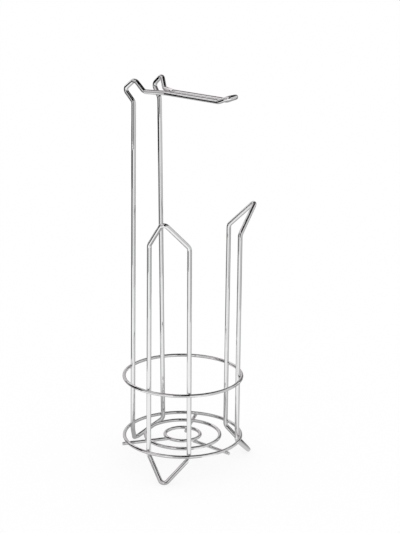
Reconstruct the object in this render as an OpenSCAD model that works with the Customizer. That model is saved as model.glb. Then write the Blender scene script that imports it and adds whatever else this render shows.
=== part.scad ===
// Free-standing wire rack for toilet rolls: three bent wire frames welded inside two rings,
// a grid of rings and spokes that the rolls stand on, and an arm that the roll in use hangs on.
// Origin: on the floor, at the axis of the rings. +Z up, +X the way the arm points.

/* [Wire] */
// Diameter of the wire of the three bent frames
frame_wire = 6; // [4:0.5:7]
// Diameter of the wire of the rings
ring_wire = 4.5; // [3:0.5:6]
// Diameter of the wire of the spokes
spoke_wire = 4.5; // [3:0.5:6]
// How far two wires sink into each other where they are welded
weld_sink = 0.4; // [0.2:0.1:0.8]

/* [Rings] */
// Outer diameter of the upper ring and of the base ring
outer_ring_d = 160.5; // [140:0.5:200]
// Outer diameter of the middle ring of the base
middle_ring_d = 104.5; // [84:0.5:120]
// Outer diameter of the inner ring of the base
inner_ring_d = 51.5; // [40:0.5:70]
// Height of the base rings above the floor, to the middle of their wire
base_height = 34.5; // [26:0.5:60]
// Height of the upper ring above the base ring
upper_ring_rise = 84.5; // [50:0.5:160]

/* [Spokes] */
// Length of a spoke past the outer face of the base ring
spoke_overhang = 3; // [1:0.5:8]
// Length of a spoke past the inner face of the inner ring
spoke_inner_overhang = 1.5; // [1:0.5:4]
// Angle of the spokes past halfway between the bent frames, in degrees, anticlockwise from above
spoke_angle = 2.5; // [-10:0.5:10]

/* [Feet] */
// Depth below the base ring at which the legs turn out into a foot
foot_bend_drop = 4.5; // [3:0.5:10]
// How far a foot reaches out from the legs, to the middle of the wire
foot_reach = 24.5; // [14:0.5:36]
// Bend radius where a leg turns into a foot
foot_shoulder_bend = 8; // [6:0.5:12]
// Bend radius at the tip of a foot
foot_tip_bend = 6; // [5:0.5:10]

/* [Guards] */
// Distance between the legs of a guard at its foot
guard_foot_gap = 54.5; // [40:0.5:76]
// Distance between the legs of a guard at its shoulders
guard_shoulder_gap = 52.5; // [36:0.5:76]
// Height above the base ring at which the legs of a guard turn out
guard_rise = 280; // [200:0.5:360]
// Height of the top of a guard above that bend
guard_peak_rise = 34; // [20:0.5:50]
// How far the top of a guard leans out from its legs
guard_peak_reach = 26; // [10:0.5:40]
// Bend radius where the legs of a guard turn out
guard_shoulder_bend = 8; // [6:0.5:12]
// Bend radius at the top of a guard
guard_peak_bend = 5; // [4.5:0.5:10]

/* [Tall frame] */
// Height of the rack, to the top of the peaks
rack_height = 510; // [440:0.5:640]
// Distance between the legs of the tall frame at its foot
tall_foot_gap = 57; // [40:0.5:76]
// Distance between the legs of the tall frame at its shoulders
tall_shoulder_gap = 46; // [36:0.5:76]
// How far the wire leans out from the shoulder to the knee
knee_reach = 14; // [8:0.5:24]
// Height of the knee above the shoulder
knee_rise = 15.5; // [10:0.5:30]
// Distance between the two knees
knee_gap = 52; // [40:0.5:70]
// Distance between the two peaks
peak_gap = 48.5; // [36:0.5:66]
// How far the wire leans in from the knee to the peak
peak_inset = 17.5; // [10:0.5:28]
// Height of the peak above the knee
peak_rise = 14; // [8:0.5:30]
// Bend radius at a shoulder
shoulder_bend = 8; // [6:0.5:12]
// Bend radius at a knee
knee_bend = 5.5; // [4.5:0.5:10]
// Bend radius at a peak
peak_bend = 5; // [4.5:0.5:10]

/* [Dispenser arm] */
// Distance between the two wires at the start of the arm
arm_start_gap = 36; // [26:0.5:46]
// Distance between the two wires past the neck, where they run side by side
arm_gap = 14.5; // [12:0.5:22]
// Distance from the peak in to the start of the arm
arm_inset = 11; // [6:0.5:24]
// Drop from the peak to the start of the arm
arm_drop = 15; // [10:0.5:26]
// Length of the arm up to where its tip turns up
arm_length = 122; // [90:1:150]
// Distance from the start of the arm to its neck, up to which its wires come together
neck_length = 27.5; // [18:0.5:50]
// Rise of the arm over its length
arm_rise = 2; // [0:0.5:12]
// Length of the upturned tip, to the middle of the wire at its end
tip_length = 20; // [14:0.5:40]
// Angle of the upturned tip above the horizontal, in degrees
tip_angle = 21.5; // [5:0.5:45]
// Bend radius at the start of the arm
arm_bend = 6.5; // [5:0.5:12]
// Bend radius at the neck
neck_bend = 10; // [6:0.5:16]
// Bend radius where the tip turns up
tip_bend = 10; // [6:0.5:16]
// Bend radius at the two corners of the tip
tip_corner_bend = 6.5; // [5:0.5:10]

/* [Hidden] */

$fn = 48;

// A bent wire is a hair thicker in its bends, and its straight runs reach a little into them
bend_swell = 0.1;
lap_length = 0.2;
// Largest share of a straight run that the bend at one of its ends may take
bend_share = 0.48;

// The bent frames stand at equal angles round the axis, and the spokes near halfway between them
frame_angle = 120;
tall_direction = 180;
guard_left_direction = tall_direction - frame_angle;
guard_right_direction = tall_direction + frame_angle;
spoke_left_direction = tall_direction - frame_angle / 2 + spoke_angle;
spoke_right_direction = tall_direction + frame_angle / 2 + spoke_angle;
spoke_front_direction = tall_direction + 3 / 2 * frame_angle + spoke_angle;

// Colour of the chrome plating
chrome = [0.80, 0.81, 0.83];

// Rings: radii to the middle of the wire
outer_ring_r = (outer_ring_d - ring_wire) / 2;
middle_ring_r = (middle_ring_d - ring_wire) / 2;
inner_ring_r = (inner_ring_d - ring_wire) / 2;
upper_ring_height = base_height + upper_ring_rise;

// Spokes: they are welded under the rings
spoke_height = base_height - (ring_wire + spoke_wire) / 2 + weld_sink;
spoke_start = inner_ring_r - ring_wire / 2 - spoke_inner_overhang;
spoke_end = outer_ring_d / 2 + spoke_overhang;

// Legs: they are welded to the inside of the two outer rings
weld_r = outer_ring_r - (ring_wire + frame_wire) / 2 + weld_sink;
foot_bend_height = base_height - foot_bend_drop;
guard_shoulder_height = base_height + guard_rise;

// A direction of length one
function unit(v) = v / norm(v);

// The value at height z on the straight line through [z1, v1] and [z2, v2]
function on_line(z, z1, v1, z2, v2) = v1 + (v2 - v1) * (z - z1) / (z2 - z1);

// Half the distance between two legs at height z, from the gaps [foot gap, shoulder gap] and the
// height of the shoulders
function half_gap(gaps, top, z) = on_line(z, foot_bend_height, gaps[0], top, gaps[1]) / 2;

// Distance of the plane of two legs from the axis at height z. It puts both legs against the
// inside of both rings.
function leg_out(gaps, top, z) =
    let (
        low = sqrt(pow(weld_r, 2) - pow(half_gap(gaps, top, base_height), 2)),
        high = sqrt(pow(weld_r, 2) - pow(half_gap(gaps, top, upper_ring_height), 2))
    )
    on_line(z, base_height, low, upper_ring_height, high);

// A point of a leg: along the tangent, away from the axis, up
function leg_point(gaps, top, z) = [half_gap(gaps, top, z), leg_out(gaps, top, z), z];

// The corner between two wires whose bend passes through the point tip. The wires come from the
// points half_width to each side of root.
function tip_corner(root, tip, half_width, bend) =
    let (
        share = bend / half_width,
        short = norm(tip - root) - bend,
        rest = 1 - pow(share, 2),
        long = (short + sqrt(pow(share * short, 2) + rest * pow(bend, 2))) / rest
    )
    root + unit(tip - root) * long;

function middle_of(p) = [0, p[1], p[2]];
function mirrored(p) = [-p[0], p[1], p[2]];

// The foot between the legs that start at leg_end
function foot_corner(leg_end) =
    tip_corner(
        middle_of(leg_end),
        [0, leg_end[1] + foot_reach, (frame_wire + bend_swell) / 2],
        leg_end[0],
        foot_tip_bend
    );

// A closed wire is a list of [corner, bend radius]
function corner_of(path, i) = path[(i + len(path)) % len(path)][0];
function bend_of(path, i) = path[(i + len(path)) % len(path)][1];

// How far the wire turns at a corner with its neighbours at back and ahead
function turn_of(back, ahead) = acos(-unit(back) * unit(ahead));

// From that corner to the centre of its bend
function to_centre(back, ahead, radius) =
    unit(unit(back) + unit(ahead)) * radius / cos(turn_of(back, ahead) / 2);

// The bend at corner i as [start, end, centre, radius, turn]
function elbow_of(path, i) =
    let (
        here = corner_of(path, i),
        back = corner_of(path, i - 1) - here,
        ahead = corner_of(path, i + 1) - here,
        turn = turn_of(back, ahead),
        room = min(norm(back), norm(ahead)) * bend_share,
        radius = min(bend_of(path, i), room / tan(turn / 2)),
        run = radius * tan(turn / 2)
    )
    [
        here + unit(back) * run,
        here + unit(ahead) * run,
        here + to_centre(back, ahead, radius),
        radius,
        turn
    ];

// Height of the top of a bend's middle line above its corner
function bend_top(back, ahead, radius) =
    let (across = unit(cross(back, ahead)))
    to_centre(back, ahead, radius)[2] + radius * sqrt(1 - pow(across[2], 2));

// Tall frame: from a knee to its peak, and from the peak to the start of the arm. The top of the
// peaks gives the height of the shoulders.
to_peak = [(peak_gap - knee_gap) / 2, -peak_inset, peak_rise];
to_arm = [(arm_start_gap - peak_gap) / 2, -arm_inset, -arm_drop];
peak_height = rack_height - (frame_wire + bend_swell) / 2 - bend_top(-to_peak, to_arm, peak_bend);
tall_shoulder_height = peak_height - peak_rise - knee_rise;

// Places a piece at p with its own axes along x, y and z
module placed(p, x, y, z) {
    multmatrix([
        [x[0], y[0], z[0], p[0]],
        [x[1], y[1], z[1], p[1]],
        [x[2], y[2], z[2], p[2]]
    ]) children();
}

// The straight wire between two bends
module straight_wire(start, end, wire) {
    z = unit(end - start);
    x = unit(cross(z, abs(z[0]) < abs(z[1]) ? [1, 0, 0] : [0, 1, 0]));
    placed(start - z * lap_length, x, cross(z, x), z)
        cylinder(h = norm(end - start) + 2 * lap_length, d = wire);
}

// The bent wire at a corner
module elbow(start, end, centre, radius, turn, wire) {
    x = unit(start - centre);
    z = unit(cross(start - centre, end - centre));
    placed(centre, x, cross(z, x), z)
        rotate_extrude(angle = turn)
            translate([radius, 0]) circle(d = wire + bend_swell);
}

// A closed wire along its corners
module bent_wire(path, wire) {
    for (i = [0 : len(path) - 1]) {
        here = elbow_of(path, i);
        next = elbow_of(path, i + 1);
        elbow(here[0], here[1], here[2], here[3], here[4], wire);
        straight_wire(here[1], next[0], wire);
    }
}

// A closed wire frame that is the same on both sides of its middle. side lists the corners of one
// side, from the first corner past the foot tip, and tops the corners between the two sides.
module wire_frame(foot, side, tops, direction) {
    last = len(side) - 1;
    path = concat(
        [[foot, foot_tip_bend]],
        side,
        tops,
        [for (i = [0 : last]) [mirrored(side[last - i][0]), side[last - i][1]]]
    );
    color(chrome) rotate(direction - 90) bent_wire(path, frame_wire);
}

// One wire bent into two legs, a foot at the bottom and a peak at the top
module guard(direction) {
    gaps = [guard_foot_gap, guard_shoulder_gap];
    leg_end = leg_point(gaps, guard_shoulder_height, foot_bend_height);
    shoulder = leg_point(gaps, guard_shoulder_height, guard_shoulder_height);
    peak = tip_corner(
        middle_of(shoulder),
        middle_of(shoulder) + [0, guard_peak_reach, guard_peak_rise],
        shoulder[0],
        guard_peak_bend
    );
    wire_frame(
        foot_corner(leg_end),
        [[leg_end, foot_shoulder_bend], [shoulder, guard_shoulder_bend]],
        [[peak, guard_peak_bend]],
        direction
    );
}

// The tall wire: legs and foot as a guard has, then out to the knees, in and up to the peaks, and
// down to the two wires of the arm, which come together at its neck and join in a round tip
module tall_frame() {
    gaps = [tall_foot_gap, tall_shoulder_gap];
    leg_end = leg_point(gaps, tall_shoulder_height, foot_bend_height);
    shoulder = leg_point(gaps, tall_shoulder_height, tall_shoulder_height);
    knee = [knee_gap / 2, shoulder[1] + knee_reach, shoulder[2] + knee_rise];
    peak = knee + to_peak;
    arm_start = peak + to_arm;
    arm_narrowing = (arm_gap - arm_start_gap) / 2;
    neck_rise = arm_rise * neck_length / arm_length;
    neck = arm_start + [arm_narrowing, -neck_length, neck_rise];
    arm_end = arm_start + [arm_narrowing, -arm_length, arm_rise];
    tip = arm_end + tip_length * [0, -cos(tip_angle), sin(tip_angle)];
    wire_frame(
        foot_corner(leg_end),
        [
            [leg_end, foot_shoulder_bend],
            [shoulder, shoulder_bend],
            [knee, knee_bend],
            [peak, peak_bend],
            [arm_start, arm_bend],
            [neck, neck_bend],
            [arm_end, tip_bend],
            [tip, tip_corner_bend]
        ],
        [],
        tall_direction
    );
}

module guard_left() { guard(guard_left_direction); }
module guard_right() { guard(guard_right_direction); }

// A closed ring of wire, with its middle at the given height
module ring(radius, height) {
    color(chrome)
        translate([0, 0, height])
            rotate_extrude() translate([radius, 0]) circle(d = ring_wire);
}

module upper_ring() { ring(outer_ring_r, upper_ring_height); }
module base_outer_ring() { ring(outer_ring_r, base_height); }
module base_middle_ring() { ring(middle_ring_r, base_height); }
module base_inner_ring() { ring(inner_ring_r, base_height); }

// A straight wire from inside the inner ring to outside the base ring
module spoke(direction) {
    color(chrome)
        rotate(direction)
            translate([spoke_start, 0, spoke_height])
                rotate([0, 90, 0]) cylinder(h = spoke_end - spoke_start, d = spoke_wire);
}

module spoke_front() { spoke(spoke_front_direction); }
module spoke_left() { spoke(spoke_left_direction); }
module spoke_right() { spoke(spoke_right_direction); }

tall_frame();
guard_left();
guard_right();
upper_ring();
base_outer_ring();
base_middle_ring();
base_inner_ring();
spoke_front();
spoke_left();
spoke_right();
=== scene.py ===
import math

import bpy
from mathutils import Matrix, Vector, noise


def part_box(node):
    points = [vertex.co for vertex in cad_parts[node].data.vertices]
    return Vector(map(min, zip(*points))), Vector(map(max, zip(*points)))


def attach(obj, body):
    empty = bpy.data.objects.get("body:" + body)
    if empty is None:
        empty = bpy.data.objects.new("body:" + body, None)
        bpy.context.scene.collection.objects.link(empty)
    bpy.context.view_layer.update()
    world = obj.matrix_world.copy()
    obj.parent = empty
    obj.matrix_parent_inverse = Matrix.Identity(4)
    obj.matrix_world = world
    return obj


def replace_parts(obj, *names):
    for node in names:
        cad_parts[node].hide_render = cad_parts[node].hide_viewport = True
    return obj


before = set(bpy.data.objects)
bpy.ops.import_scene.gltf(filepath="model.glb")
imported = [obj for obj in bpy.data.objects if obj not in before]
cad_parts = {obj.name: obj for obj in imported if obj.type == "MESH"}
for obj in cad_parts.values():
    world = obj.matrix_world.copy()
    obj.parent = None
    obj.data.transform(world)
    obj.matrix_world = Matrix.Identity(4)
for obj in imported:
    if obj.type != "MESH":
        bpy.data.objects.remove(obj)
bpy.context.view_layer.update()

# A millimetre in metres
MM = 0.001

# Sizes of the rack, in millimetres and degrees
FRAME_WIRE = 6.0
SPOKE_WIRE = 4.5
WELD_SINK = 0.4

SPOKE_OVERHANG = 3.0
SPOKE_INNER_OVERHANG = 1.5
SPOKE_ANGLE = 2.5

FOOT_BEND_DROP = 4.5
FOOT_REACH = 24.5
FOOT_SHOULDER_BEND = 8.0
FOOT_TIP_BEND = 6.0

GUARD_FOOT_GAP = 54.5
GUARD_SHOULDER_GAP = 52.5
GUARD_RISE = 280.0
GUARD_PEAK_RISE = 34.0
GUARD_PEAK_REACH = 26.0
GUARD_SHOULDER_BEND = 8.0
GUARD_PEAK_BEND = 5.0

RACK_HEIGHT = 510.0
TALL_FOOT_GAP = 57.0
TALL_SHOULDER_GAP = 46.0
KNEE_REACH = 14.0
KNEE_RISE = 15.5
KNEE_GAP = 52.0
PEAK_GAP = 48.5
PEAK_INSET = 17.5
PEAK_RISE = 14.0
SHOULDER_BEND = 8.0
KNEE_BEND = 5.5
PEAK_BEND = 5.0

ARM_START_GAP = 36.0
ARM_GAP = 14.5
ARM_INSET = 11.0
ARM_DROP = 15.0
ARM_LENGTH = 122.0
NECK_LENGTH = 27.5
ARM_RISE = 2.0
TIP_LENGTH = 20.0
TIP_ANGLE = 21.5
ARM_BEND = 6.5
NECK_BEND = 10.0
TIP_BEND = 10.0
TIP_CORNER_BEND = 6.5

# The most of a straight run that one bend may take
BEND_SHARE = 0.48
# The solids' bends are thicker by this, so their feet and peaks start half of it further in
BEND_SWELL = 0.1

# Which way the frames face, and the spokes point, from the axis: anticlockwise from +X
FRAME_ANGLE = 120.0
TALL_DIRECTION = 180.0
GUARD_LEFT_DIRECTION = TALL_DIRECTION - FRAME_ANGLE
GUARD_RIGHT_DIRECTION = TALL_DIRECTION + FRAME_ANGLE
SPOKE_DIRECTIONS = {
    "spoke_left": TALL_DIRECTION - FRAME_ANGLE / 2 + SPOKE_ANGLE,
    "spoke_right": TALL_DIRECTION + FRAME_ANGLE / 2 + SPOKE_ANGLE,
    "spoke_front": TALL_DIRECTION + FRAME_ANGLE * 3 / 2 + SPOKE_ANGLE,
}
UP = Vector((0, 0, 1))


def outward(direction):
    """The level way out from the axis in a direction."""
    a = math.radians(direction)
    return Vector((math.cos(a), math.sin(a), 0))


def facing(direction):
    """Turns what is drawn facing +Y, as the frames are, so that it faces a direction."""
    return Matrix.Rotation(math.radians(direction - 90), 3, "Z")


def ring_sizes(node):
    """Radius to the middle of a ring's wire, the wire's diameter and the height of its middle."""
    low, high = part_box(node)
    wire = (high.z - low.z) / MM
    return (high.x - low.x) / MM / 2 - wire / 2, wire, (high.z + low.z) / MM / 2


RINGS = {name: ring_sizes(name) for name in
         ("upper_ring", "base_outer_ring", "base_middle_ring", "base_inner_ring")}
OUTER_RING_RADIUS, RING_WIRE, BASE_HEIGHT = RINGS["base_outer_ring"]
UPPER_RING_HEIGHT = RINGS["upper_ring"][2]
WELD_RADIUS = OUTER_RING_RADIUS - (RING_WIRE + FRAME_WIRE) / 2 + WELD_SINK
SPOKE_HEIGHT = BASE_HEIGHT - (RING_WIRE + SPOKE_WIRE) / 2 + WELD_SINK
GUARD_SHOULDER_HEIGHT = BASE_HEIGHT + GUARD_RISE

# How finely the wires are meshed: sides round a wire, degrees to a step in a bend, millimetres to
# a step in a straight run, and steps round a ring
WIRE_SIDES = 28
BEND_STEP = 6.0
FEWEST_BEND_STEPS = 4
STRAIGHT_STEP = 11.0
FEWEST_STRAIGHT_STEPS = 2
RING_STEPS = 168

# A bent wire flattens a little in its bends: thinner across the bend, wider along the bend's axis
BEND_THIN = 0.035
BEND_WIDE = 0.016


# Routes of the wires, as corners with their bend radii
def leg_point(gaps, top, height):
    """The middle of a leg at a height. X runs across the frame, Y away from the rack's axis."""
    def half_gap(z):
        low = BASE_HEIGHT - FOOT_BEND_DROP
        return (gaps[0] + (gaps[1] - gaps[0]) * (z - low) / (top - low)) / 2

    low = math.sqrt(WELD_RADIUS ** 2 - half_gap(BASE_HEIGHT) ** 2)
    high = math.sqrt(WELD_RADIUS ** 2 - half_gap(UPPER_RING_HEIGHT) ** 2)
    out = low + (high - low) * (height - BASE_HEIGHT) / (UPPER_RING_HEIGHT - BASE_HEIGHT)
    return Vector((half_gap(height), out, height))


def tip_corner(root, tip, half_width, bend):
    """The corner of a V, its wires from both sides of root, whose bend passes through tip."""
    share = bend / half_width
    short = (tip - root).length - bend
    rest = 1 - share ** 2
    reach = (short + math.sqrt((share * short) ** 2 + rest * bend ** 2)) / rest
    return root + (tip - root).normalized() * reach


def middle_of(point):
    """The point halfway between the two wires, level with a point of one of them."""
    return Vector((0, point.y, point.z))


def foot_corner(leg_end):
    """The corner of a frame's V foot, whose tip stands on the floor."""
    tip = Vector((0, leg_end.y + FOOT_REACH, (FRAME_WIRE + BEND_SWELL) / 2))
    return tip_corner(middle_of(leg_end), tip, leg_end.x, FOOT_TIP_BEND)


def whole_route(foot, side, top, direction):
    """All corners of a closed frame from those of one side, turned to its direction."""
    mirrored = [(Vector((-p.x, p.y, p.z)), bend) for p, bend in reversed(side)]
    corners = [(foot, FOOT_TIP_BEND)] + side + top + mirrored
    turn = facing(direction)
    return [(turn @ p, bend) for p, bend in corners]


def guard_route(direction):
    """A guard's corners: foot, legs, shoulders and the peak that leans out."""
    gaps = (GUARD_FOOT_GAP, GUARD_SHOULDER_GAP)
    leg_end = leg_point(gaps, GUARD_SHOULDER_HEIGHT, BASE_HEIGHT - FOOT_BEND_DROP)
    shoulder = leg_point(gaps, GUARD_SHOULDER_HEIGHT, GUARD_SHOULDER_HEIGHT)
    root = middle_of(shoulder)
    peak = tip_corner(root, root + Vector((0, GUARD_PEAK_REACH, GUARD_PEAK_RISE)),
                      shoulder.x, GUARD_PEAK_BEND)
    side = [(leg_end, FOOT_SHOULDER_BEND), (shoulder, GUARD_SHOULDER_BEND)]
    return whole_route(foot_corner(leg_end), side, [(peak, GUARD_PEAK_BEND)], direction)


# From a knee of the tall frame to its peak, and on from there to the start of the arm
TO_PEAK = Vector(((PEAK_GAP - KNEE_GAP) / 2, -PEAK_INSET, PEAK_RISE))
TO_ARM = Vector(((ARM_START_GAP - PEAK_GAP) / 2, -ARM_INSET, -ARM_DROP))


def tall_shoulder_height():
    """Where the top of the peaks puts the shoulders of the tall frame."""
    back, ahead = -TO_PEAK, TO_ARM
    turn = math.pi - back.angle(ahead)
    inward = (back.normalized() + ahead.normalized()).normalized()
    across = back.cross(ahead).normalized()
    bend_top = inward.z * PEAK_BEND / math.cos(turn / 2)
    bend_top += PEAK_BEND * math.sqrt(1 - across.z ** 2)
    return RACK_HEIGHT - (FRAME_WIRE + BEND_SWELL) / 2 - bend_top - PEAK_RISE - KNEE_RISE


def tall_route():
    """The tall frame's corners: foot, legs, shoulders, knees, peaks, arm, neck and tip."""
    top = tall_shoulder_height()
    gaps = (TALL_FOOT_GAP, TALL_SHOULDER_GAP)
    leg_end = leg_point(gaps, top, BASE_HEIGHT - FOOT_BEND_DROP)
    shoulder = leg_point(gaps, top, top)
    knee = Vector((KNEE_GAP / 2, shoulder.y + KNEE_REACH, shoulder.z + KNEE_RISE))
    peak = knee + TO_PEAK
    arm_start = peak + TO_ARM
    narrowing = (ARM_GAP - ARM_START_GAP) / 2
    neck = arm_start + Vector((narrowing, -NECK_LENGTH, ARM_RISE * NECK_LENGTH / ARM_LENGTH))
    arm_end = arm_start + Vector((narrowing, -ARM_LENGTH, ARM_RISE))
    lift = math.radians(TIP_ANGLE)
    tip = arm_end + TIP_LENGTH * Vector((0, -math.cos(lift), math.sin(lift)))
    side = [
        (leg_end, FOOT_SHOULDER_BEND), (shoulder, SHOULDER_BEND), (knee, KNEE_BEND),
        (peak, PEAK_BEND), (arm_start, ARM_BEND), (neck, NECK_BEND), (arm_end, TIP_BEND),
        (tip, TIP_CORNER_BEND),
    ]
    return whole_route(foot_corner(leg_end), side, [], TALL_DIRECTION)


def elbow(route, i):
    """The bend at corner i: its start, centre, turn and axis."""
    here, bend = route[i]
    back = route[i - 1][0] - here
    ahead = route[(i + 1) % len(route)][0] - here
    turn = math.pi - back.angle(ahead)
    room = min(back.length, ahead.length) * BEND_SHARE
    radius = min(bend, room / math.tan(turn / 2))
    inward = (back.normalized() + ahead.normalized()).normalized()
    centre = here + inward * radius / math.cos(turn / 2)
    start = here + back.normalized() * radius * math.tan(turn / 2)
    return start, centre, turn, (-back).cross(ahead).normalized()


def bent_centreline(route):
    """Stations along a closed bent wire: place, direction, bend axis and share of full bend."""
    stations = []
    for i in range(len(route)):
        start, centre, turn, axis = elbow(route, i)
        steps = max(FEWEST_BEND_STEPS, math.ceil(math.degrees(turn) / BEND_STEP))
        for k in range(steps + 1):
            arm = Matrix.Rotation(turn * k / steps, 3, axis) @ (start - centre)
            stations.append((centre + arm, axis.cross(arm).normalized(), axis,
                             math.sin(math.pi * k / steps)))
        following = elbow(route, (i + 1) % len(route))[0]
        last = stations[-1][0]
        run = following - last
        steps = max(FEWEST_STRAIGHT_STEPS, math.ceil(run.length / STRAIGHT_STEP))
        for k in range(1, steps):
            stations.append((last.lerp(following, k / steps), run.normalized(), axis, 0.0))
    return stations


def round_centreline(radius, height):
    """Stations along a ring, as along a bent wire."""
    stations = []
    for k in range(RING_STEPS):
        a = 2 * math.pi * k / RING_STEPS
        place = Vector((radius * math.cos(a), radius * math.sin(a), height))
        stations.append((place, Vector((-math.sin(a), math.cos(a), 0)), UP, 0.0))
    return stations


# Meshes of the wires and welds
def new_piece(name, vertices, faces, material):
    """A smooth piece of the rack from vertices in millimetres."""
    mesh = bpy.data.meshes.new(name)
    mesh.from_pydata([v * MM for v in vertices], [], faces)
    mesh.polygons.foreach_set("use_smooth", [True] * len(faces))
    mesh.materials.append(material)
    piece = bpy.data.objects.new(name, mesh)
    bpy.context.scene.collection.objects.link(piece)
    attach(piece, "root")
    return piece


def note_wire_space(mesh, spots):
    """Stores each face corner's place in the wire's own space: across, across, along."""
    layer = mesh.attributes.new("wire_space", "FLOAT_VECTOR", "CORNER")
    layer.data.foreach_set("vector", [x * MM for spot in spots for x in spot])


def closed_wire(name, stations, wire, material):
    """A round wire swept along a closed line without a seam or a twist."""
    count = len(stations)
    side = stations[0][1].orthogonal().normalized()
    sides = [side]
    for k in range(1, count + 1):
        swing = stations[k - 1][1].rotation_difference(stations[k % count][1])
        side = (swing @ side).normalized()
        sides.append(side)
    first, last = sides[0], sides[-1]
    twist = last.angle(first)
    if last.cross(first).dot(stations[0][1]) < 0:
        twist = -twist
    runs = [0.0]
    for k in range(count):
        runs.append(runs[-1] + (stations[(k + 1) % count][0] - stations[k][0]).length)
    vertices = []
    for k in range(count):
        place, ahead, axis, bend = stations[k]
        side = Matrix.Rotation(twist * runs[k] / runs[-1], 3, ahead) @ sides[k]
        other = ahead.cross(side)
        for j in range(WIRE_SIDES):
            a = 2 * math.pi * j / WIRE_SIDES
            out = side * math.cos(a) + other * math.sin(a)
            wide = axis * out.dot(axis)
            shaped = wide * (1 + BEND_WIDE * bend) + (out - wide) * (1 - BEND_THIN * bend)
            vertices.append(place + shaped * wire / 2)
    faces, spots = [], []
    for k in range(count):
        following = (k + 1) % count
        for j in range(WIRE_SIDES):
            n = (j + 1) % WIRE_SIDES
            faces.append((k * WIRE_SIDES + j, k * WIRE_SIDES + n,
                          following * WIRE_SIDES + n, following * WIRE_SIDES + j))
            for m, run in ((j, runs[k]), (n, runs[k]), (n, runs[k + 1]), (j, runs[k + 1])):
                a = 2 * math.pi * m / WIRE_SIDES
                spots.append((wire / 2 * math.cos(a), wire / 2 * math.sin(a), run))
    piece = new_piece(name, vertices, faces, material)
    note_wire_space(piece.data, spots)
    return piece


# Radius of the rounded edge round a cut end
CUT_EDGE = 0.55
CUT_EDGE_STEPS = 4
CUT_WIRE_STEPS = 8


def cut_wire(name, start, end, wire, material):
    """A straight wire with its two cut ends a little rounded off at the edge."""
    length = (end - start).length
    ahead = (end - start).normalized()
    side = ahead.orthogonal().normalized()
    other = ahead.cross(side)
    rounded = []
    for k in range(CUT_EDGE_STEPS + 1):
        a = math.pi / 2 * k / CUT_EDGE_STEPS
        rounded.append((CUT_EDGE * (1 - math.cos(a)), wire / 2 - CUT_EDGE * (1 - math.sin(a))))
    middle = [(length * k / CUT_WIRE_STEPS, wire / 2) for k in range(1, CUT_WIRE_STEPS)]
    stations = rounded + middle + [(length - along, radius) for along, radius in reversed(rounded)]
    vertices = [start]
    for along, radius in stations:
        for j in range(WIRE_SIDES):
            a = 2 * math.pi * j / WIRE_SIDES
            out = side * math.cos(a) + other * math.sin(a)
            vertices.append(start + ahead * along + out * radius)
    vertices.append(end)
    faces = []
    for k in range(len(stations) - 1):
        row, following = 1 + k * WIRE_SIDES, 1 + (k + 1) * WIRE_SIDES
        for j in range(WIRE_SIDES):
            n = (j + 1) % WIRE_SIDES
            faces.append((row + j, row + n, following + n, following + j))
    last_row = 1 + (len(stations) - 1) * WIRE_SIDES
    for j in range(WIRE_SIDES):
        n = (j + 1) % WIRE_SIDES
        faces.append((0, 1 + n, 1 + j))
        faces.append((len(vertices) - 1, last_row + j, last_row + n))
    spots = []
    for face in faces:
        for index in face:
            reach = vertices[index] - start
            spots.append((reach.dot(side), reach.dot(other), reach.dot(ahead)))
    piece = new_piece(name, vertices, faces, material)
    note_wire_space(piece.data, spots)
    return piece


# A weld bead is a flat lump, a little square, its height and unevenness shares of its size
BEAD_ROWS = 10
BEAD_COLUMNS = 20
BEAD_CORNERS = 4
BEAD_SQUARENESS = 0.22
BEAD_HEIGHT = 0.42
BEAD_UNEVENNESS = 0.12
BEAD_NOISE_REACH = 1.7
BEAD_NOISE_STEP = 3.1


def weld_beads(name, welds, material):
    """Small beads of metal pressed out where two wires cross: centre, along, across and size."""
    vertices, faces = [], []
    for number, (centre, along, across, size) in enumerate(welds):
        out = along.cross(across).normalized()
        base = len(vertices)
        for r in range(BEAD_ROWS + 1):
            lift = math.pi * r / BEAD_ROWS
            for c in range(BEAD_COLUMNS):
                a = 2 * math.pi * c / BEAD_COLUMNS
                corner = 1 + BEAD_SQUARENESS * (1 - math.cos(BEAD_CORNERS * a)) / 2
                spot = Vector((math.cos(a) * BEAD_NOISE_REACH, math.sin(a) * BEAD_NOISE_REACH,
                               number * BEAD_NOISE_STEP + lift))
                bump = 1 + BEAD_UNEVENNESS * noise.noise(spot)
                flat = math.sin(lift) * size * corner * bump
                high = math.cos(lift) * size * BEAD_HEIGHT * bump
                vertices.append(centre + along * flat * math.cos(a)
                                + across * flat * math.sin(a) + out * high)
        for r in range(BEAD_ROWS):
            row, following = base + r * BEAD_COLUMNS, base + (r + 1) * BEAD_COLUMNS
            for c in range(BEAD_COLUMNS):
                n = (c + 1) % BEAD_COLUMNS
                faces.append((row + c, following + c, following + n, row + n))
    piece = new_piece(name, vertices, faces, material)
    note_wire_space(piece.data, [vertices[index] for face in faces for index in face])


# Node trees
class Value:
    """What a node gives out. Arithmetic on it adds Math nodes to the same tree."""

    def __init__(self, tree, socket):
        self.tree = tree
        self.socket = socket

    def maths(self, operation, first, second):
        return self.tree.add("ShaderNodeMath", {"operation": operation}, {0: first, 1: second})

    def __add__(self, other):
        return self.maths("ADD", self, other)

    def __radd__(self, other):
        return self.maths("ADD", other, self)

    def __sub__(self, other):
        return self.maths("SUBTRACT", self, other)

    def __rsub__(self, other):
        return self.maths("SUBTRACT", other, self)

    def __mul__(self, other):
        return self.maths("MULTIPLY", self, other)

    def __rmul__(self, other):
        return self.maths("MULTIPLY", other, self)


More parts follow.
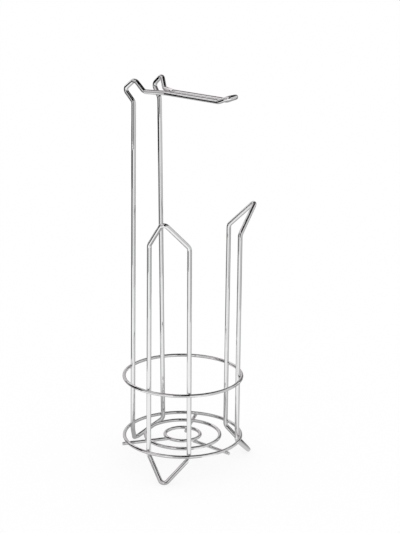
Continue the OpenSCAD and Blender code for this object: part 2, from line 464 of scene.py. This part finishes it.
class Tree:
    """The nodes of a material or of the world."""

    def __init__(self, owner):
        owner.use_nodes = True
        self.nodes = owner.node_tree.nodes
        self.links = owner.node_tree.links
        self.nodes.clear()

    def add(self, kind, settings=None, sockets=None, output=0):
        """Adds a node with its settings, then the values and links of its sockets."""
        node = self.nodes.new(kind)
        for name, value in (settings or {}).items():
            if name == "stops":
                for element, (position, colour) in zip(node.color_ramp.elements, value):
                    element.position = position
                    element.color = colour
            else:
                setattr(node, name, value)
        for name, value in (sockets or {}).items():
            if isinstance(value, Value):
                self.links.new(value.socket, node.inputs[name])
            else:
                node.inputs[name].default_value = value
        return Value(self, node.outputs[output]) if len(node.outputs) else None


# Chrome: scales of its patterns, and how far the drawing lines are stretched along the wire
LINE_SCALE = 3200.0
LINE_STRETCH = 0.012
WAVE_SCALE = 110.0
PATCH_SCALE = 42.0
GRAIN_SCALE = 2600.0
# Where the thinner patches start and where they are full, on their noise
PATCH_STOPS = ((0.35, (0, 0, 0, 1)), (0.68, (1, 1, 1, 1)))
# How much the patches and the grain change the roughness, as a share of it
DULLING = 0.5
NOISE_MIDDLE = 0.5
# Sockets of a Mix node that mixes colours: factor, two colours and the colour that comes out
MIX_FACTOR, MIX_FIRST, MIX_SECOND, MIXED = 0, 6, 7, 2


def chrome(name, light, dark, roughness, wave_height, line_height):
    """Chrome plating on drawn wire: soft waves, faint drawing lines, thinner and duller patches."""
    material = bpy.data.materials.new(name)
    tree = Tree(material)
    place = tree.add("ShaderNodeTexCoord", output="Object")
    wire_space = tree.add("ShaderNodeAttribute", {"attribute_name": "wire_space"}, output="Vector")
    stretched = tree.add("ShaderNodeVectorMath", {"operation": "MULTIPLY"},
                         {0: wire_space, 1: (1.0, 1.0, LINE_STRETCH)}, output="Vector")
    lines = tree.add("ShaderNodeTexNoise", None,
                     {"Vector": stretched, "Scale": LINE_SCALE, "Detail": 2.0})
    waves, patches, grain = (
        tree.add("ShaderNodeTexNoise", None, {"Vector": place, "Scale": scale, "Detail": detail})
        for scale, detail in ((WAVE_SCALE, 1.0), (PATCH_SCALE, 4.0), (GRAIN_SCALE, 1.0)))
    tone = tree.add("ShaderNodeValToRGB", {"stops": PATCH_STOPS}, {"Fac": patches}, output="Color")
    colour = tree.add("ShaderNodeMix", {"data_type": "RGBA"},
                      {MIX_FACTOR: tone, MIX_FIRST: (*light, 1), MIX_SECOND: (*dark, 1)},
                      output=MIXED)
    dulling = roughness * DULLING
    rough = roughness + tone * dulling + (grain - NOISE_MIDDLE) * dulling
    waved = tree.add("ShaderNodeBump", None,
                     {"Strength": 1.0, "Distance": wave_height, "Height": waves}, output="Normal")
    lined = tree.add("ShaderNodeBump", None,
                     {"Strength": 1.0, "Distance": line_height, "Height": lines, "Normal": waved},
                     output="Normal")
    surface = tree.add("ShaderNodeBsdfPrincipled", None,
                       {"Base Color": colour, "Metallic": 1.0, "Roughness": rough, "Normal": lined},
                       output="BSDF")
    tree.add("ShaderNodeOutputMaterial", None, {"Surface": surface})
    return material


POLISHED = {"light": (0.87, 0.87, 0.875), "dark": (0.83, 0.83, 0.84), "roughness": 0.025,
            "wave_height": 0.02 * MM, "line_height": 0.001 * MM}
DULL = {"light": (0.82, 0.82, 0.83), "dark": (0.68, 0.68, 0.69), "roughness": 0.14,
        "wave_height": 0.06 * MM, "line_height": 0.0}
FRAME_CHROME = chrome("frame_chrome", **POLISHED)
RING_CHROME = chrome("ring_chrome", **POLISHED)
WELD_CHROME = chrome("weld_chrome", **DULL)

# The rack
for node, route in (
    ("tall_frame", tall_route()),
    ("guard_left", guard_route(GUARD_LEFT_DIRECTION)),
    ("guard_right", guard_route(GUARD_RIGHT_DIRECTION)),
):
    centreline = bent_centreline(route)
    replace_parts(closed_wire(node + "_wire", centreline, FRAME_WIRE, FRAME_CHROME), node)
for node, (radius, wire, height) in RINGS.items():
    centreline = round_centreline(radius, height)
    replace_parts(closed_wire(node + "_wire", centreline, wire, RING_CHROME), node)

SPOKE_START = RINGS["base_inner_ring"][0] - RING_WIRE / 2 - SPOKE_INNER_OVERHANG
SPOKE_END = OUTER_RING_RADIUS + RING_WIRE / 2 + SPOKE_OVERHANG
for node, direction in SPOKE_DIRECTIONS.items():
    start, end = (outward(direction) * reach + UP * SPOKE_HEIGHT
                  for reach in (SPOKE_START, SPOKE_END))
    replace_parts(cut_wire(node + "_wire", start, end, SPOKE_WIRE, RING_CHROME), node)

# The welds' beads: half their length, in millimetres
LEG_WELD_SIZE = 2.1
SPOKE_WELD_SIZE = 1.9

leg_welds = []
for direction, gaps, top in (
    (TALL_DIRECTION, (TALL_FOOT_GAP, TALL_SHOULDER_GAP), tall_shoulder_height()),
    (GUARD_LEFT_DIRECTION, (GUARD_FOOT_GAP, GUARD_SHOULDER_GAP), GUARD_SHOULDER_HEIGHT),
    (GUARD_RIGHT_DIRECTION, (GUARD_FOOT_GAP, GUARD_SHOULDER_GAP), GUARD_SHOULDER_HEIGHT),
):
    turn = facing(direction)
    for height in (BASE_HEIGHT, UPPER_RING_HEIGHT):
        for side in (1, -1):
            leg = leg_point(gaps, top, height)
            leg.x *= side
            leg = turn @ leg
            out = Vector((leg.x, leg.y, 0)).normalized()
            touch = out * (WELD_RADIUS + (FRAME_WIRE - WELD_SINK) / 2) + UP * height
            leg_welds.append((touch, UP, out.cross(UP), LEG_WELD_SIZE))
weld_beads("leg_welds", leg_welds, WELD_CHROME)

spoke_welds = []
for direction in SPOKE_DIRECTIONS.values():
    out = outward(direction)
    for node in ("base_outer_ring", "base_middle_ring", "base_inner_ring"):
        touch = out * RINGS[node][0] + UP * (SPOKE_HEIGHT + (SPOKE_WIRE - WELD_SINK) / 2)
        spoke_welds.append((touch, out, out.cross(UP), SPOKE_WELD_SIZE))
weld_beads("spoke_welds", spoke_welds, WELD_CHROME)

# Camera, from the photograph's perspective, in degrees, metres and pixels of the photograph. It
# stands CAMERA_ANGLE - 90 degrees round from +X.
CAMERA_ANGLE = 45.2506
CAMERA_YAW = 0.6266
CAMERA_PITCH = 16.4639
CAMERA_ROLL = 0.5175
CAMERA_DISTANCE = 1.95414
CAMERA_HEIGHT = 0.84683
FOCAL_PIXELS = 1565.413
PHOTO_HEIGHT = 533
SENSOR_WIDTH = 36.0
CAMERA_NEAR = 0.05
CAMERA_FAR = 60.0

right, away = outward(CAMERA_ANGLE), outward(CAMERA_ANGLE + 90)
place = -away * CAMERA_DISTANCE + UP * CAMERA_HEIGHT
yaw = Matrix.Rotation(-math.radians(CAMERA_YAW), 3, "Z")
right, away = yaw @ right, yaw @ away
pitch = Matrix.Rotation(-math.radians(CAMERA_PITCH), 3, right)
forward, up = pitch @ away, pitch @ UP
roll = Matrix.Rotation(-math.radians(CAMERA_ROLL), 3, forward)
right, up = roll @ right, roll @ up

camera_data = bpy.data.cameras.new("camera")
camera_data.sensor_width = SENSOR_WIDTH
camera_data.lens = SENSOR_WIDTH * FOCAL_PIXELS / PHOTO_HEIGHT
camera_data.clip_start = CAMERA_NEAR
camera_data.clip_end = CAMERA_FAR
camera = bpy.data.objects.new("camera", camera_data)
bpy.context.scene.collection.objects.link(camera)
turned = Matrix((right, up, -forward)).transposed()
camera.matrix_world = Matrix.Translation(place) @ turned.to_4x4()
bpy.context.scene.camera = camera


# Studio: a white floor and world, grey, dark and light boards round the rack that only its chrome
# mirrors, and glowing sheets of painted shade on the floor that only the chrome mirrors too. Angles
# are in degrees from straight away from the camera, positive to its right, and other sizes are in
# metres.
FLOOR_RADIUS = 14.0
FLOOR_SIDES = 64
# How much of the floor's seen white is its own. The rest is what light and shadow make of it.
SEEN_WHITE = 0.8
# Degrees to a step along a board, the middle of the curved boards, and a floor sheet's thickness
BOARD_STEP = 6.0
BOARD_CENTRE = UP * 0.3
SHEET_THICKNESS = 0.0005
PAPER_WHITE = (0.99, 0.99, 0.99)
PLAIN_WHITE = (1.0, 1.0, 1.0)
ROSE_WHITE = (1.0, 0.93, 0.95)


def glow(name, strength, colour):
    """An even light of a strength, where 1 is white."""
    material = bpy.data.materials.new(name)
    tree = Tree(material)
    light = tree.add("ShaderNodeEmission", None, {"Color": (*colour, 1), "Strength": strength})
    tree.add("ShaderNodeOutputMaterial", None, {"Surface": light})
    return material


def stage_piece(name, vertices, faces, material):
    mesh = bpy.data.meshes.new(name)
    mesh.from_pydata(vertices, [], faces)
    mesh.materials.append(material)
    piece = bpy.data.objects.new(name, mesh)
    bpy.context.scene.collection.objects.link(piece)
    return piece


def toward(angle):
    """The level way out from the axis at an angle from straight away from the camera."""
    return outward(CAMERA_ANGLE + 90 - angle)


def mirrored_only(name, rows, strength, colour=PLAIN_WHITE):
    """A board through rows of points that shows in the chrome alone."""
    across = len(rows[0])
    faces = []
    for r in range(len(rows) - 1):
        for c in range(across - 1):
            k = r * across + c
            faces.append((k, k + 1, k + across + 1, k + across))
    board = stage_piece(name, [point for row in rows for point in row], faces,
                        glow(name, strength, colour))
    board.visible_camera = False
    board.visible_diffuse = False
    board.visible_shadow = False


def steps_between(low, high):
    count = max(1, math.ceil((high - low) / BOARD_STEP))
    return [low + (high - low) * k / count for k in range(count + 1)]


def curved_board(name, angles, heights, distance, strength, colour=PLAIN_WHITE):
    """A board that curves round the rack. Its heights are angles too, above the horizon."""
    rows = []
    for height in steps_between(*heights):
        e = math.radians(height)
        rows.append([BOARD_CENTRE + distance * (toward(angle) * math.cos(e) + UP * math.sin(e))
                     for angle in steps_between(*angles)])
    mirrored_only(name, rows, strength, colour)


def standing_card(name, angles, heights, distance, strength, colour=PLAIN_WHITE):
    """An upright card that curves round the rack, between two heights in metres."""
    rows = [[toward(angle) * distance + UP * height for angle in steps_between(*angles)]
            for height in heights]
    mirrored_only(name, rows, strength, colour)


def painted_floor_shade(name, angles, reach, layer, strength):
    """Painted shade on the floor: a glowing sheet, darker than the white floor and seen in the
    chrome alone, between two distances from the axis, a layer being one thickness up.
    """
    height = UP * SHEET_THICKNESS * layer
    rows = [[toward(angle) * distance + height for angle in steps_between(*angles)]
            for distance in reach]
    mirrored_only(name, rows, strength)


# The floor looks white, also in the chrome, and keeps a share of the rack's shadow
floor_material = bpy.data.materials.new("studio_floor")
tree = Tree(floor_material)
camera_ray, glossy_ray, transmission_ray = (
    tree.add("ShaderNodeLightPath", output=ray)
    for ray in ("Is Camera Ray", "Is Glossy Ray", "Is Transmission Ray"))
seen = camera_ray + glossy_ray + transmission_ray
paper = tree.add("ShaderNodeBsdfDiffuse", None, {"Color": (*PAPER_WHITE, 1)})
white = tree.add("ShaderNodeEmission", None, {"Color": (*PLAIN_WHITE, 1), "Strength": 1.0})
mixed = tree.add("ShaderNodeMixShader", None, {0: seen * SEEN_WHITE, 1: paper, 2: white})
tree.add("ShaderNodeOutputMaterial", None, {"Surface": mixed})
stage_piece("studio_floor",
            [outward(360 * k / FLOOR_SIDES) * FLOOR_RADIUS for k in range(FLOOR_SIDES)],
            [tuple(range(FLOOR_SIDES))], floor_material)

# Name, angles, heights or distances, then the board's distance or the sheet's layer, and strength
curved_board("dark_board_behind_camera", (157, 198), (-8, 52), 2.20, 0.0)
curved_board("dark_board_over_camera", (140, 187), (40, 89), 2.25, 0.0)
curved_board("dark_left_board", (-90, -47), (-8, 12), 2.20, 0.0)
curved_board("dark_top_right_board", (60, 153), (42, 88), 2.30, 0.0)
curved_board("bright_left_strip", (-86, -72), (31, 40), 2.30, 1.20)
curved_board("light_top_left_board", (-167, -55), (38, 64), 2.35, 0.80, ROSE_WHITE)
curved_board("dim_ceiling", (-172, 165), (20, 82), 2.60, 0.08)
standing_card("dark_left_card", (-106, -69), (0.0, 0.49), 0.45, 0.0)
standing_card("light_right_card", (57, 167), (0.03, 1.20), 1.20, 0.64)
standing_card("grey_left_card", (-148, -96), (0.15, 1.35), 1.50, 0.48)
standing_card("bright_back_card", (-52, 6), (1.00, 1.50), 1.55, 0.95, ROSE_WHITE)
standing_card("light_back_card", (-48, 16), (0.15, 1.40), 1.60, 0.60, ROSE_WHITE)
standing_card("dim_back_card", (16, 49), (0.11, 1.35), 1.80, 0.16)
# Painted shade on the floor, in the chrome alone: glowing sheets darker than the white floor
painted_floor_shade("middle_floor_shade", (-89, 77), (0.0, 0.72), 3, 0.39)
painted_floor_shade("right_floor_shade", (77, 132), (0.0, 1.27), 2, 0.64)
painted_floor_shade("left_floor_shade", (-206, -89), (0.0, 0.14), 2, 0.46)
painted_floor_shade("light_left_floor_shade", (-128, -45), (0.72, 1.72), 2, 0.60)
painted_floor_shade("dark_left_floor_shade", (-147, -60), (1.00, 2.22), 1, 0.05)
painted_floor_shade("dark_back_floor_shade", (-58, 148), (0.72, 2.37), 1, 0.16)

world = bpy.data.worlds.new("studio")
bpy.context.scene.world = world
tree = Tree(world)
background = tree.add("ShaderNodeBackground", None,
                      {"Color": (*PLAIN_WHITE, 1), "Strength": 1.0})
tree.add("ShaderNodeOutputWorld", None, {"Surface": background})

bpy.context.scene.view_settings.view_transform = "Standard"
